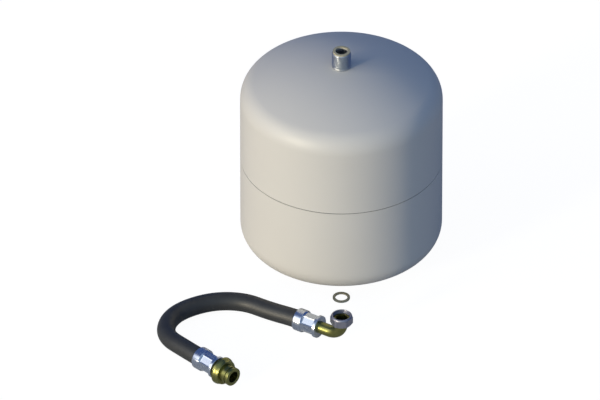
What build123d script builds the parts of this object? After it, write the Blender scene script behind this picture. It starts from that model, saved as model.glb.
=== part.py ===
from build123d import *

import math
import os

# Diaphragm buffer tank for a small heating circuit, with its connection hose.
# A pressed steel vessel in two halves holds a rubber diaphragm over a gas cushion.
# Water goes in and out through the threaded stub on top. The gas is filled through
# a small valve that sits in a pocket pressed up into the bottom. The hose lies
# on the floor in front of the tank, taken off: an elbow with a union nut at one end,
# a turned plug-in nipple at the other. Millimetres, +Z up, origin on the floor
# under the middle of the tank.

# Vessel
tank_d = 280.0
wall = 1.5
knuckle_r = 31.0
crown_r = 290.0
straight_h = 201.5
seam_below_top_bend = 95.7
seam_gap = 1.0
joggle_fit = 0.15
neck_h = 14.0
joggle_h = 2.0
weld_set_back = 0.6

# Pocket in the bottom and the flat ring round it that the tank stands on
foot_outer_r = 40.0
foot_flat_w = 4.0
foot_lip_r = 5.0
pocket_h = 26.0
pocket_corner_r = 4.0

# Water stub, with a 3/4 inch pipe thread
stub_thread_d = 26.44
stub_bore_d = 16.6
stub_h = 24.0
stub_chamfer = 1.2
stub_bore_chamfer = 0.5
stub_spigot_d = 24.0
stub_spigot_l = 4.0
stub_spigot_fit = 0.1

# Flat seals
seal_od = 24.0
seal_id = 17.0
seal_t = 2.0
loose_seal_x = 0.0
loose_seal_y = -117.5

# Diaphragm and the ring that clamps its bead
skin_t = 2.0
skin_knuckle_in = 1.0
skin_crown_in = 5.0
skin_below_stub = 2.5
skin_set_in = 0.5
bead_w = 6.0
bead_h = 8.0
bead_above_seam = 2.5
clamp_t = 1.5
clamp_lip = 3.0
bead_fit = 0.15

# Gas valve, pointing down in the pocket
valve_hole_d = 12.2
valve_fit = 0.1
valve_flange_d = 18.0
valve_flange_t = 3.0
valve_collar_d = 16.0
valve_collar_t = 2.0
valve_stem_d = 7.7
valve_stem_l = 15.0
valve_mouth_chamfer = 0.5
valve_mouth_d = 5.2
valve_mouth_l = 6.0
valve_bore_d = 4.2

# Valve core, its pin, the pin's seal and spring
core_set_back = 0.6
core_plug_l = 5.0
core_fit = 0.1
core_neck_d = 3.7
core_l = 12.4
core_floor_t = 1.6
core_guide_d = 1.6
chamber_d = 2.9
pin_hole_d = 1.9
pin_d = 1.2
pin_collar_d = 2.6
pin_collar_t = 0.8
pin_set_back = 0.2
pin_head_d = 3.5
pin_head_t = 0.9
pin_seal_t = 1.0
valve_play = 0.05
spring_wire_d = 0.45
spring_mean_d = 2.1
spring_turns = 6
wire_sides = 8

# Valve cap
cap_d = 18.0
cap_h = 15.0
cap_floor_gap = 6.0
cap_wall = 1.3
cap_top_t = 1.5
cap_chamfer = 0.8
cap_sleeve_t = 1.4
cap_sleeve_fit = 0.15
cap_sleeve_short = 1.0
cap_flute_count = 16
cap_flute_d = 1.6
cap_flute_depth = 0.5
cap_seal_d = 7.4
cap_seal_id = 2.8
cap_seal_fit = 0.1

# Hose
hose_d = 25.6
hose_bore_d = 16.0
hose_in_ferrule = 30.0
arc_share = 0.45

# Crimp ferrules, the same piece at both ends of the hose
ferrule_d = 31.6
ferrule_l = 37.4
ferrule_round = 2.0
ferrule_chamfer = 1.0
crimp_flats = 8
crimp_across_flats = 26.0
crimp_start = 12.4
crimp_end = 32.4
crimp_slope_l = 2.4
crimp_wall = 1.8
ferrule_plate_t = 4.0
ferrule_fit = 0.1

# Barbed tail that both fittings put into the hose
tail_d = 15.8
tail_root_d = 14.4
tail_bore_d = 12.6
tail_start = 4.0
barb_count = 6
barb_pitch = 4.0
tail_shoulder_at = 31.5

# Elbow pipe and union nut
pipe_d = 17.2
pipe_bore_d = 14.2
elbow_bend_r = 20.0
elbow_leg_l = 35.1
elbow_heading = -32.7
union_x = 0.0
union_y = -227.7
nut_h = 13.6
nut_above_bend = 0.9
nut_across_flats = 28.0
nut_corner_d = 31.8
nut_turn = -5.0
nut_collar_d = 29.8
nut_collar_h = 3.0
nut_round = 0.8
nut_lip_t = 3.0
nut_hole_d = 17.8
nut_relief_d = 25.2
nut_thread_d = 24.12
nut_thread_l = 6.4
nut_mouth_d = 25.8
seat_d = 23.4
seat_t = 3.0
seat_mouth_d = 16.5
seat_gap = 0.2

# Plug-in nipple at the other end
plug_end_x = -148.5
plug_end_y = -332.1
plug_heading = -45.0
plug_neck_d = 22.0
plug_neck_l = 5.0
plug_flange_d = 39.6
plug_flange_t = 2.1
plug_collar_d = 34.8
plug_collar_l = 8.5
plug_spigot_d = 26.4
plug_spigot_l = 14.2
plug_groove_at = 8.2
plug_groove_w = 1.2
plug_groove_depth = 0.9
plug_mouth_d = 16.5
plug_mouth_l = 15.0
plug_chamfer = 0.6
plug_ease = 0.4

# Heights and radii that follow from the sizes above
tank_r = tank_d / 2
knuckle_x = tank_r - knuckle_r
foot_inner_r = foot_outer_r - foot_flat_w
crown_rise = math.sqrt((crown_r - knuckle_r) ** 2 - knuckle_x ** 2)
low_crown_z = foot_lip_r + math.sqrt((crown_r - foot_lip_r) ** 2 - foot_outer_r ** 2)
low_bend_z = low_crown_z - crown_rise
high_bend_z = low_bend_z + straight_h
tank_top_z = high_bend_z - crown_rise + crown_r
seam_z = high_bend_z - seam_below_top_bend
shoulder_z = seam_z - seam_gap / 2
edge_z = seam_z + seam_gap / 2
neck_r = tank_r - wall - joggle_fit
neck_top_z = seam_z + neck_h
stub_base_z = tank_top_z - crown_r + math.sqrt(crown_r ** 2 - (stub_spigot_d / 2) ** 2)
stub_top_z = tank_top_z + stub_h
bead_r = neck_r - wall - bead_fit
bead_z = seam_z + bead_above_seam
valve_mouth_z = pocket_h - valve_collar_t - valve_stem_l
core_z = valve_mouth_z + core_set_back
core_top_z = core_z + core_l
pin_collar_z = core_z + core_floor_t + valve_play
pin_head_z = core_top_z + valve_play + pin_seal_t + valve_play
spring_low_z = pin_collar_z + pin_collar_t + valve_play
spring_high_z = core_top_z - core_floor_t - valve_play
elbow_dir = Vector(1, 0, 0).rotate(Axis.Z, elbow_heading)
plug_dir = Vector(1, 0, 0).rotate(Axis.Z, plug_heading)
leg_z = ferrule_d / 2
nut_z = leg_z + elbow_bend_r + nut_above_bend
seat_z = nut_z + nut_lip_t + seat_gap
plug_z = plug_flange_d / 2
plug_body_l = plug_neck_l + plug_flange_t + plug_collar_l + plug_spigot_l
union_point = Vector(union_x, union_y, leg_z)
plug_point = Vector(plug_end_x, plug_end_y, plug_z)
elbow_ferrule_point = union_point - elbow_dir * (elbow_leg_l + ferrule_l)
plug_ferrule_point = plug_point - plug_dir * (plug_body_l + ferrule_l)
elbow_frame = Plane(elbow_ferrule_point, x_dir=(0, 0, 1), z_dir=elbow_dir)
plug_frame = Plane(plug_ferrule_point, x_dir=(0, 0, 1), z_dir=plug_dir)

# Points of the hose's middle line. The first two and the last two lie on the
# ferrules' axes, and the four between them were chosen by hand.
hose_first_run = 54.0
hose_last_run = 54.8
hose_route = [
    elbow_ferrule_point + elbow_dir * hose_in_ferrule,
    elbow_ferrule_point + elbow_dir * (hose_in_ferrule - hose_first_run),
    Vector(-141, -142, hose_d / 2),
    Vector(-184, -143, hose_d / 2),
    Vector(-232, -172, hose_d / 2),
    Vector(-247.5, -224, hose_d / 2),
    plug_ferrule_point + plug_dir * (hose_in_ferrule - hose_last_run),
    plug_ferrule_point + plug_dir * hose_in_ferrule,
]


def turned(points):
    """Solid of revolution about Z from a closed outline of (radius, height) points."""
    return revolve(Plane.XZ * make_face(Polyline(*points, close=True)), Axis.Z)


def tube(outer_d, inner_d, low_z, high_z):
    """Plain round tube about Z."""
    inner, outer = inner_d / 2, outer_d / 2
    return turned([(inner, low_z), (outer, low_z), (outer, high_z), (inner, high_z)])


def arc(x, z, radius, start, end):
    """Arc about a point, from one angle to another in degrees."""
    return CenterArc((x, z), radius, start, end - start)


def dome(radius, knuckle, crown, bend_z, base_z):
    """Solid pressed-end shape, open way down: a straight wall, a knuckle and a crown."""
    knuckle_at = radius - knuckle
    crown_z = bend_z - math.sqrt((crown - knuckle) ** 2 - knuckle_at ** 2)
    bend = math.degrees(math.atan2(bend_z - crown_z, knuckle_at))
    outline = [
        Line((0, base_z), (radius, base_z)),
        Line((radius, base_z), (radius, bend_z)),
        arc(knuckle_at, bend_z, knuckle, 0, bend),
        arc(0, crown_z, crown, bend, 90),
        Line((0, crown_z + crown), (0, base_z)),
    ]
    return revolve(Plane.XZ * make_face(outline), Axis.Z)


def vessel_top(inset):
    """Upper half of the vessel as a solid, taken in by an inset."""
    return dome(tank_r - inset, knuckle_r - inset, crown_r - inset, high_bend_z, edge_z)


def vessel_bottom(inset):
    """Lower half of the vessel with its foot ring and pocket, taken in by an inset."""
    lip = foot_lip_r - inset
    corner = pocket_corner_r + inset
    corner_x = foot_inner_r - foot_lip_r - pocket_corner_r
    corner_z = pocket_h - pocket_corner_r
    crown_start = math.degrees(math.atan2(foot_lip_r - low_crown_z, foot_outer_r))
    crown_end = math.degrees(math.atan2(low_bend_z - low_crown_z, knuckle_x))
    outline = [
        Line((0, pocket_h + inset), (corner_x, pocket_h + inset)),
        arc(corner_x, corner_z, corner, 90, 0),
        Line((corner_x + corner, corner_z), (foot_inner_r - lip, foot_lip_r)),
        arc(foot_inner_r, foot_lip_r, lip, 180, 270),
        Line((foot_inner_r, inset), (foot_outer_r, inset)),
        arc(foot_outer_r, foot_lip_r, lip, -90, crown_start),
        arc(0, low_crown_z, crown_r - inset, crown_start, crown_end),
        arc(knuckle_x, low_bend_z, knuckle_r - inset, crown_end, 0),
        Line((tank_r - inset, low_bend_z), (tank_r - inset, shoulder_z)),
        Line((tank_r - inset, shoulder_z), (0, shoulder_z)),
        Line((0, shoulder_z), (0, pocket_h + inset)),
    ]
    return revolve(Plane.XZ * make_face(outline), Axis.Z)


def make_upper_shell():
    hole = Cylinder(stub_spigot_d / 2 + stub_spigot_fit, tank_d)
    return vessel_top(0) - vessel_top(wall) - Pos(Z=tank_top_z) * hole


def make_lower_shell():
    """Pressed bottom whose upper edge steps in, to slide inside the upper shell."""
    neck_in = neck_r - wall
    step = turned([
        (tank_r, shoulder_z - 3 * joggle_h),
        (tank_r, shoulder_z),
        (neck_r, shoulder_z),
        (neck_r, neck_top_z),
        (neck_in, neck_top_z),
        (neck_in, shoulder_z - joggle_h),
        (tank_r - wall, shoulder_z - 2 * joggle_h),
        (tank_r - wall, shoulder_z - 3 * joggle_h),
    ])
    hole = Pos(Z=pocket_h) * Cylinder(valve_hole_d / 2, 4 * wall)
    return vessel_bottom(0) - vessel_bottom(wall) + step - hole


def make_seam_weld():
    return tube(tank_d - 2 * weld_set_back, 2 * neck_r, shoulder_z, edge_z)


def make_water_stub():
    """Threaded stub: its shoulder stands on the dome and its spigot goes through."""
    outer, bore, spigot = stub_thread_d / 2, stub_bore_d / 2, stub_spigot_d / 2
    low_z = stub_base_z - stub_spigot_l
    return turned([
        (bore, low_z),
        (spigot, low_z),
        (spigot, stub_base_z),
        (outer, stub_base_z),
        (outer, stub_top_z - stub_chamfer),
        (outer - stub_chamfer, stub_top_z),
        (bore + stub_bore_chamfer, stub_top_z),
        (bore, stub_top_z - stub_bore_chamfer),
    ])


def make_diaphragm():
    """Rubber skin in its dry position, up under the stub, with a thick bead."""
    skin_r = bead_r - skin_set_in
    knuckle, crown = knuckle_r - skin_knuckle_in, crown_r - skin_crown_in
    rise = math.sqrt((crown - knuckle) ** 2 - (skin_r - knuckle) ** 2)
    skin_top_z = stub_base_z - stub_spigot_l - skin_below_stub
    bend_z = skin_top_z - crown + rise
    base_z = bead_z + bead_h - skin_t
    outer = dome(skin_r, knuckle, crown, bend_z, base_z)
    inner = dome(skin_r - skin_t, knuckle - skin_t, crown - skin_t, bend_z, base_z)
    return outer - inner + tube(2 * bead_r, 2 * (bead_r - bead_w), bead_z, bead_z + bead_h)


def make_clamp_ring():
    """Steel ring of C section that holds the bead against the neck."""
    web = bead_r - bead_w - bead_fit
    low_z, high_z = bead_z - bead_fit, bead_z + bead_h + bead_fit
    return turned([
        (web - clamp_t, low_z - clamp_t),
        (bead_r, low_z - clamp_t),
        (bead_r, low_z),
        (web, low_z),
        (web, high_z),
        (web + clamp_lip, high_z),
        (web + clamp_lip, high_z + clamp_t),
        (web - clamp_t, high_z + clamp_t),
    ])


def make_valve_body():
    """Brass valve body: flange inside the tank, collar and threaded stem outside."""
    bore, mouth, stem = valve_bore_d / 2, valve_mouth_d / 2, valve_stem_d / 2
    waist = valve_hole_d / 2 - valve_fit
    inside_z = pocket_h + wall
    collar_z = pocket_h - valve_collar_t
    seat_z = valve_mouth_z + valve_mouth_l
    return turned([
        (bore, inside_z + valve_flange_t),
        (valve_flange_d / 2, inside_z + valve_flange_t),
        (valve_flange_d / 2, inside_z),
        (waist, inside_z),
        (waist, pocket_h),
        (valve_collar_d / 2, pocket_h),
        (valve_collar_d / 2, collar_z),
        (stem, collar_z),
        (stem, valve_mouth_z + valve_mouth_chamfer),
        (stem - valve_mouth_chamfer, valve_mouth_z),
        (mouth, valve_mouth_z),
        (mouth, seat_z),
        (bore, seat_z + mouth - bore),
    ])


def make_valve_core():
    """Screw-in core: a plug below, a barrel above, and a spring chamber inside."""
    plug, neck = valve_mouth_d / 2 - core_fit, core_neck_d / 2
    chamber, guide, hole = chamber_d / 2, core_guide_d / 2, pin_hole_d / 2
    return turned([
        (hole, core_z),
        (plug, core_z),
        (plug, core_z + core_plug_l),
        (neck, core_z + core_plug_l + plug - neck),
        (neck, core_top_z),
        (guide, core_top_z),
        (guide, core_top_z - core_floor_t),
        (chamber, core_top_z - core_floor_t),
        (chamber, core_z + core_floor_t),
        (hole, core_z + core_floor_t),
    ])


def make_valve_pin():
    """Pin with the collar that the spring pushes down and the head that carries the seal."""
    low_z = valve_mouth_z + pin_set_back
    shank = Pos(Z=low_z) * Cylinder(
        pin_d / 2, pin_head_z + pin_head_t - low_z, align=(Align.CENTER, Align.CENTER, Align.MIN)
    )
    collar = tube(pin_collar_d, pin_d / 2, pin_collar_z, pin_collar_z + pin_collar_t)
    head = tube(pin_head_d, pin_d / 2, pin_head_z, pin_head_z + pin_head_t)
    return shank + collar + head


def make_pin_seal():
    low_z = core_top_z + valve_play
    return tube(pin_head_d, pin_d + 2 * valve_play, low_z, low_z + pin_seal_t)


def make_valve_spring():
    """Coil of six open turns. The round wire is eight-sided here."""
    low_z = spring_low_z + spring_wire_d / 2
    height = spring_high_z - spring_low_z - spring_wire_d
    line = Helix(pitch=height / spring_turns, height=height, radius=spring_mean_d / 2)
    section = Plane(line @ 0, z_dir=line % 0) * RegularPolygon(spring_wire_d / 2, wire_sides)
    return Pos(Z=low_z) * sweep(section, path=line)


def make_valve_cap():
    """Moulded cap: fluted skirt outside, threaded sleeve inside."""
    outer, skirt = cap_d / 2, cap_d / 2 - cap_wall
    thread = valve_stem_d / 2 + cap_sleeve_fit
    sleeve = thread + cap_sleeve_t
    low_z, floor_z = cap_floor_gap, cap_floor_gap + cap_top_t
    high_z = cap_floor_gap + cap_h
    cap = turned([
        (0, low_z),
        (outer - cap_chamfer, low_z),
        (outer, low_z + cap_chamfer),
        (outer, high_z),
        (skirt, high_z),
        (skirt, floor_z),
        (sleeve, floor_z),
        (sleeve, high_z - cap_sleeve_short),
        (thread, high_z - cap_sleeve_short),
        (thread, floor_z),
        (0, floor_z),
    ])
    reach = outer + cap_flute_d / 2 - cap_flute_depth
    flute = Cylinder(cap_flute_d / 2, cap_h, align=(Align.CENTER, Align.CENTER, Align.MIN))
    flutes = PolarLocations(reach, cap_flute_count) * flute
    return cap - [Pos(Z=low_z + cap_top_t) * one for one in flutes]


def make_cap_seal():
    low_z = cap_floor_gap + cap_top_t
    return tube(cap_seal_d, cap_seal_id, low_z, valve_mouth_z - cap_seal_fit)


def make_seal(x, y, z):
    return Pos(x, y) * tube(seal_od, seal_id, z, z + seal_t)


def make_ferrule():
    """Crimped sleeve along +Z: round mouth, eight crimp flats, round front with a plate."""
    outer, corner = ferrule_d / 2, crimp_across_flats / 2 / math.cos(math.pi / crimp_flats)
    mouth = hose_d / 2 + ferrule_fit
    squeezed = crimp_across_flats / 2 - crimp_wall
    rear = fillet(Cylinder(outer, crimp_start).edges().group_by(Axis.Z)[0], ferrule_round)
    front = chamfer(
        Cylinder(outer, ferrule_l - crimp_end).edges().group_by(Axis.Z)[-1], ferrule_chamfer
    )
    slope = Cone(outer, corner, crimp_slope_l)
    flats = extrude(
        RegularPolygon(
            crimp_across_flats / 2, crimp_flats, major_radius=False, rotation=180 / crimp_flats
        ),
        crimp_end - crimp_start,
    )
    body = Pos(Z=crimp_start / 2) * rear
    body += Pos(Z=crimp_start + crimp_slope_l / 2) * slope
    body += Pos(Z=crimp_start) * flats
    body += Pos(Z=crimp_end - crimp_slope_l / 4) * Cone(corner, outer, crimp_slope_l / 2)
    body += Pos(Z=(crimp_end + ferrule_l) / 2) * front
    inside = turned([
        (0, 0),
        (mouth + ferrule_chamfer, 0),
        (mouth, ferrule_chamfer),
        (mouth, crimp_start),
        (squeezed, crimp_start + crimp_slope_l),
        (squeezed, ferrule_l - ferrule_plate_t),
        (pipe_d / 2 + ferrule_fit, ferrule_l - ferrule_plate_t),
        (pipe_d / 2 + ferrule_fit, ferrule_l),
        (0, ferrule_l),
    ])
    return body - inside


def tail_outline():
    """Outside of the barbed tail, from its open end to the shoulder at the ferrule's plate."""
    tip, root = tail_d / 2, tail_root_d / 2
    points = [(tail_bore_d / 2, tail_start), (root, tail_start)]
    for barb in range(barb_count):
        start = tail_start + barb * barb_pitch
        points += [(tip, start + barb_pitch), (root, start + barb_pitch)]
    return points + [(root, tail_shoulder_at), (pipe_d / 2, tail_shoulder_at)]


def make_elbow_pipe():
    """Bent tube with a barbed tail at the hose end and a seat ring at the union end."""
    pipe, bore = pipe_d / 2, pipe_bore_d / 2
    step_z = tail_shoulder_at + pipe - tail_bore_d / 2
    tail = turned(tail_outline() + [
        (pipe, step_z + bore),
        (bore, step_z + bore),
        (bore, step_z),
        (tail_bore_d / 2, step_z - bore + tail_bore_d / 2),
    ])
    start = elbow_ferrule_point + elbow_dir * (step_z + bore)
    top = Vector(union_x, union_y, seat_z + seat_t)
    line = FilletPolyline(start, union_point, top, radius=elbow_bend_r)
    section = Plane(start, x_dir=(0, 0, 1), z_dir=elbow_dir) * (Circle(pipe) - Circle(bore))
    bent = sweep(section, path=line)
    ring = tube(seat_d, pipe_d, seat_z, seat_z + seat_t)
    sink = turned([
        (0, seat_z), (bore, seat_z), (seat_mouth_d / 2, seat_z + seat_t), (0, seat_z + seat_t)
    ])
    place = Pos(union_x, union_y)
    return elbow_frame * tail + bent + place * ring - place * sink


def make_union_nut():
    """Captive nut: hexagon below, round collar above, thread and relief inside."""
    hexagon = RegularPolygon(nut_across_flats / 2, 6, major_radius=False, rotation=nut_turn)
    corner = nut_corner_d / 2
    hex_h = nut_h - nut_collar_h
    blank = turned([
        (0, 0), (corner - nut_round, 0), (corner, nut_round), (corner, hex_h), (0, hex_h)
    ])
    collar = turned([
        (0, hex_h),
        (nut_collar_d / 2, hex_h),
        (nut_collar_d / 2, nut_h - nut_round),
        (nut_collar_d / 2 - nut_round, nut_h),
        (0, nut_h),
    ])
    thread_top = nut_h - (nut_mouth_d - nut_thread_d) / 2
    thread_low = thread_top - nut_thread_l
    inside = turned([
        (0, 0),
        (nut_hole_d / 2, 0),
        (nut_hole_d / 2, nut_lip_t),
        (nut_relief_d / 2, nut_lip_t),
        (nut_relief_d / 2, thread_low),
        (nut_thread_d / 2, thread_low),
        (nut_thread_d / 2, thread_top),
        (nut_mouth_d / 2, nut_h),
        (0, nut_h),
    ])
    nut = (extrude(hexagon, hex_h) & blank) + collar - inside
    return Pos(union_x, union_y, nut_z) * nut


def make_plug():
    """Turned nipple: barbed tail, neck, thin flange, collar and grooved spigot."""
    neck, flange, collar = plug_neck_d / 2, plug_flange_d / 2, plug_collar_d / 2
    spigot, mouth, bore = plug_spigot_d / 2, plug_mouth_d / 2, tail_bore_d / 2
    flange_z = ferrule_l + plug_neck_l
    collar_z = flange_z + plug_flange_t
    spigot_z = collar_z + plug_collar_l
    groove_z = spigot_z + plug_groove_at
    end_z = spigot_z + plug_spigot_l
    plug = turned(tail_outline() + [
        (pipe_d / 2, ferrule_l),
        (neck, ferrule_l),
        (neck, flange_z),
        (flange - plug_ease, flange_z),
        (flange, flange_z + plug_ease),
        (flange, collar_z - plug_ease),
        (flange - plug_ease, collar_z),
        (collar, collar_z),
        (collar, spigot_z - plug_ease),
        (collar - plug_ease, spigot_z),
        (spigot, spigot_z),
        (spigot, groove_z),
        (spigot - plug_groove_depth, groove_z),
        (spigot - plug_groove_depth, groove_z + plug_groove_w),
        (spigot, groove_z + plug_groove_w),
        (spigot, end_z - plug_chamfer),
        (spigot - plug_chamfer, end_z),
        (mouth, end_z),
        (mouth, end_z - plug_mouth_l),
        (bore, end_z - plug_mouth_l - mouth + bore),
    ])
    return plug_frame * plug


def hose_radii():
    """Largest arc that the two runs at each corner of the route leave room for."""
    radii = []
    for before, corner, after in zip(hose_route, hose_route[1:], hose_route[2:]):
        run_in, run_out = corner - before, after - corner
        half_turn = math.radians(run_in.get_angle(run_out)) / 2
        radii.append(arc_share * min(run_in.length, run_out.length) / math.tan(half_turn))
    return radii


def make_hose():
    """Rubber hose of straight runs and arcs, squeezed where the ferrules are crimped."""
    line = FilletPolyline(*hose_route, radius=hose_radii())
    start = Plane(hose_route[0], x_dir=(0, 0, 1), z_dir=-elbow_dir)
    hose = sweep(start * (Circle(hose_d / 2) - Circle(hose_bore_d / 2)), path=line)
    soft, hard = hose_d / 2, crimp_across_flats / 2 - crimp_wall - ferrule_fit
    past = hose_in_ferrule + ferrule_fit
    squeeze = turned([
        (hose_d, crimp_start - 2 * ferrule_fit),
        (soft, crimp_start - 2 * ferrule_fit),
        (hard, crimp_start + crimp_slope_l - 2 * ferrule_fit),
        (hard, past),
        (hose_d, past),
    ])
    return line, hose - elbow_frame * squeeze - plug_frame * squeeze


def main():
    """Build every piece and write one STEP file for each."""
    line, hose = make_hose()
    pieces = {
        "upper_shell": make_upper_shell(),
        "lower_shell": make_lower_shell(),
        "seam_weld": make_seam_weld(),
        "water_stub": make_water_stub(),
        "stub_seal": make_seal(0, 0, stub_top_z),
        "union_seal": make_seal(loose_seal_x, loose_seal_y, 0),
        "diaphragm": make_diaphragm(),
        "clamp_ring": make_clamp_ring(),
        "valve_body": make_valve_body(),
        "valve_core": make_valve_core(),
        "valve_pin": make_valve_pin(),
        "pin_seal": make_pin_seal(),
        "valve_spring": make_valve_spring(),
        "valve_cap": make_valve_cap(),
        "cap_seal": make_cap_seal(),
        "hose": hose,
        "elbow_ferrule": elbow_frame * make_ferrule(),
        "plug_ferrule": plug_frame * make_ferrule(),
        "elbow_pipe": make_elbow_pipe(),
        "union_nut": make_union_nut(),
        "plug": make_plug(),
    }
    os.makedirs("parts", exist_ok=True)
    for name, piece in pieces.items():
        export_step(piece, f"parts/{name}.step")
    section = math.pi / 4 * (hose_d ** 2 - hose_bore_d ** 2)
    print("hose radii", [round(radius, 1) for radius in hose_radii()])
    print("hose length", round(line.length, 1), "section x length", round(section * line.length))
    print("hose volume", round(hose.volume))
    print("tank top", round(tank_top_z, 2), "stub top", round(stub_top_z, 2))
    print("seam", round(seam_z, 2), "nut", round(nut_z, 2), "seat", round(seat_z + seat_t, 2))
    print("pin head", round(pin_head_z, 2), "spring top", round(spring_high_z, 2))


main()
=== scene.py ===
# %% [markdown]
# A small steel buffer tank stands on a pale floor, and its connection hose lies in
# front of it, taken off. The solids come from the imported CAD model, which this
# script loads as a fixed frame. It gives every solid its finish, and it makes again
# the eight pieces that need more than CAD gives: the threaded stub and nut, the two
# crimped ferrules, the elbow and the nipple with their soft edges, the smooth hose
# and the spring that moves.

# %% Load the frame
import math

import bpy
from mathutils import Matrix, Vector


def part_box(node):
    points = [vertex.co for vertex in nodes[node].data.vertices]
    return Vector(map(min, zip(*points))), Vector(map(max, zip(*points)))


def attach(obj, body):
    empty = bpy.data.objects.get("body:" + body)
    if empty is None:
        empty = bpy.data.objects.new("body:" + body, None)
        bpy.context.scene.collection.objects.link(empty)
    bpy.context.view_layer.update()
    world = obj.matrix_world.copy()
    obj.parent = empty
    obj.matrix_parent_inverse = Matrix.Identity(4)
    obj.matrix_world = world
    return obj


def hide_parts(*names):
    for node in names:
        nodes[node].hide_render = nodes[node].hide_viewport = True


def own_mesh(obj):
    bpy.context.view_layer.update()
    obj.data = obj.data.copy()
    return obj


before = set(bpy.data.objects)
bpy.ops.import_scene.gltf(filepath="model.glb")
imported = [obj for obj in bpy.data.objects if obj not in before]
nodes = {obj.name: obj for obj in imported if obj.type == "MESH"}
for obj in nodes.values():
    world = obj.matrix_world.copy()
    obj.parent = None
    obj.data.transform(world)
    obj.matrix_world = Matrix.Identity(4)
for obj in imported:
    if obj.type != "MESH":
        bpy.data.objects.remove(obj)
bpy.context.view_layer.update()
mm = 0.001

# %% [markdown]
# The picture is a drawing-like view with parallel lines, looking down at the angle
# where the three edges of a cube look equally long. A real camera comes close to
# that from far away with a very long lens, and it still works from other sides,
# which a flat drawing camera would not do as simply.

# %% The camera
view_elevation = math.atan(math.sqrt(0.5))
lens_mm = 1000
sensor_mm = 36
picture_width = 833.6 * mm
aim = Vector((-57.2, 38.7, 55.5)) * mm

toward_camera = Vector((0, -math.cos(view_elevation), math.sin(view_elevation)))
camera_distance = picture_width * lens_mm / sensor_mm
camera_data = bpy.data.cameras.new("camera")
camera_data.lens = lens_mm
camera_data.sensor_width = sensor_mm
camera_data.clip_end = 2 * camera_distance
camera = bpy.data.objects.new("camera", camera_data)
camera.location = aim + toward_camera * camera_distance
camera.rotation_mode = "QUATERNION"
camera.rotation_quaternion = (-toward_camera).to_track_quat("-Z", "Y")
bpy.context.scene.collection.objects.link(camera)
bpy.context.scene.camera = camera
print("camera at", round(camera_distance, 2), "m")

# %% [markdown]
# The hose is rubber over a braid, about as thick as a broom handle, and stiff: it
# lies in one wide bend with a straight piece at each ferrule. Its middle line is a
# smooth spline, pulled along by a short list of points. They are those of the CAD
# tube's route, moved and added to until the hose lay as in the photograph.
# Arcs between straight runs would look like bent wire, and a spline does not.

# %% The hose's line
hose_diameter = 25.6 * mm
route_steps = 24
hose_route = [
    (-35.7, -204.8, 15.8),
    (-62.6, -187.5, 15.8),
    (-98.0, -167.9, 13.6),
    (-136.6, -142.4, 12.8),
    (-186.4, -143.9, 12.8),
    (-235.0, -175.2, 12.8),
    (-245.6, -223.3, 12.8),
    (-213.6, -267.0, 19.8),
    (-174.8, -305.8, 19.8),
]


def spline_points(route):
    """Points along a smooth NURBS spline that has a route, in mm, as its control points."""
    curve = bpy.data.curves.new("route", "CURVE")
    curve.dimensions = "3D"
    curve.resolution_u = route_steps
    spline = curve.splines.new("NURBS")
    spline.points.add(len(route) - 1)
    for point, place in zip(spline.points, route):
        point.co = (*(Vector(place) * mm), 1)
    spline.order_u = 3
    spline.use_endpoint_u = True
    holder = bpy.data.objects.new("route", curve)
    line = bpy.data.meshes.new_from_object(holder)
    points = [vertex.co.copy() for vertex in line.vertices]
    bpy.data.objects.remove(holder)
    bpy.data.meshes.remove(line)
    return points


hose_line = spline_points(hose_route)
print("points along the hose", len(hose_line))

# %% [markdown]
# The hose itself is a tube of rings along that line. Each ring stands square to the
# line with its first point on top, and the map laid on the tube counts metres along
# it and turns round it, so that a pattern can follow the hose through its bends.

# %% The hose
hose_ring_count = 48
tube_edge_angle = math.radians(50)


def tube_mesh(name, line, radius, count):
    """Tube with flat ends. Its map holds metres along the line and turns round it."""
    up = Vector((0, 0, 1))
    points, walked = [], [0]
    for step, centre in enumerate(line):
        ahead = (line[min(step + 1, len(line) - 1)] - line[max(step - 1, 0)]).normalized()
        side = ahead.cross(up).normalized()
        top = side.cross(ahead)
        for turn in range(count):
            angle = 2 * math.pi * turn / count
            points.append(centre + radius * (math.cos(angle) * top + math.sin(angle) * side))
        if step:
            walked.append(walked[-1] + (centre - line[step - 1]).length)
    faces, places = [], []
    for step in range(len(line) - 1):
        for turn in range(count):
            after = (turn + 1) % count
            here, there = step * count, (step + 1) * count
            faces.append((here + turn, here + after, there + after, there + turn))
            near, far = walked[step], walked[step + 1]
            left, right = turn / count, (turn + 1) / count
            places += [(near, left), (near, right), (far, right), (far, left)]
    faces.append(tuple(reversed(range(count))))
    faces.append(tuple(range((len(line) - 1) * count, len(line) * count)))
    places += [(0, 0)] * (2 * count)
    mesh = bpy.data.meshes.new(name)
    mesh.from_pydata(points, [], faces)
    layer = mesh.uv_layers.new(name="length_and_turn")
    for corner, place in zip(layer.data, places):
        corner.uv = place
    mesh.shade_smooth()
    mesh.set_sharp_from_angle(angle=tube_edge_angle)
    return mesh


hose_tube = tube_mesh("rubber_hose", hose_line, hose_diameter / 2, hose_ring_count)
hose = bpy.data.objects.new("rubber_hose", hose_tube)
bpy.context.scene.collection.objects.link(hose)
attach(hose, "tank")
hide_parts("hose")
print("hose faces", len(hose.data.polygons))

# %% [markdown]
# All turned and crimped pieces are round about an axis, so one helper makes them:
# it spins a list of rows about Z. A row is a height and a radius, and the radius can
# be a function of the angle, which gives hexagons, crimp flats and screw threads
# without cutting anything. The first and last rows are joined, so the piece is a
# closed body with a hole through it. The elbow is bent, so the axis itself may be a
# function too: it says where the middle is at a height, and which two ways are across.

# %% A helper that spins rows about an axis
turned_edge_angle = math.radians(30)


def straight_axis(height):
    """Middle of a row and its two directions across, for an axis that is Z itself."""
    return Vector((0, 0, height)), Vector((1, 0, 0)), Vector((0, 1, 0))


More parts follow.
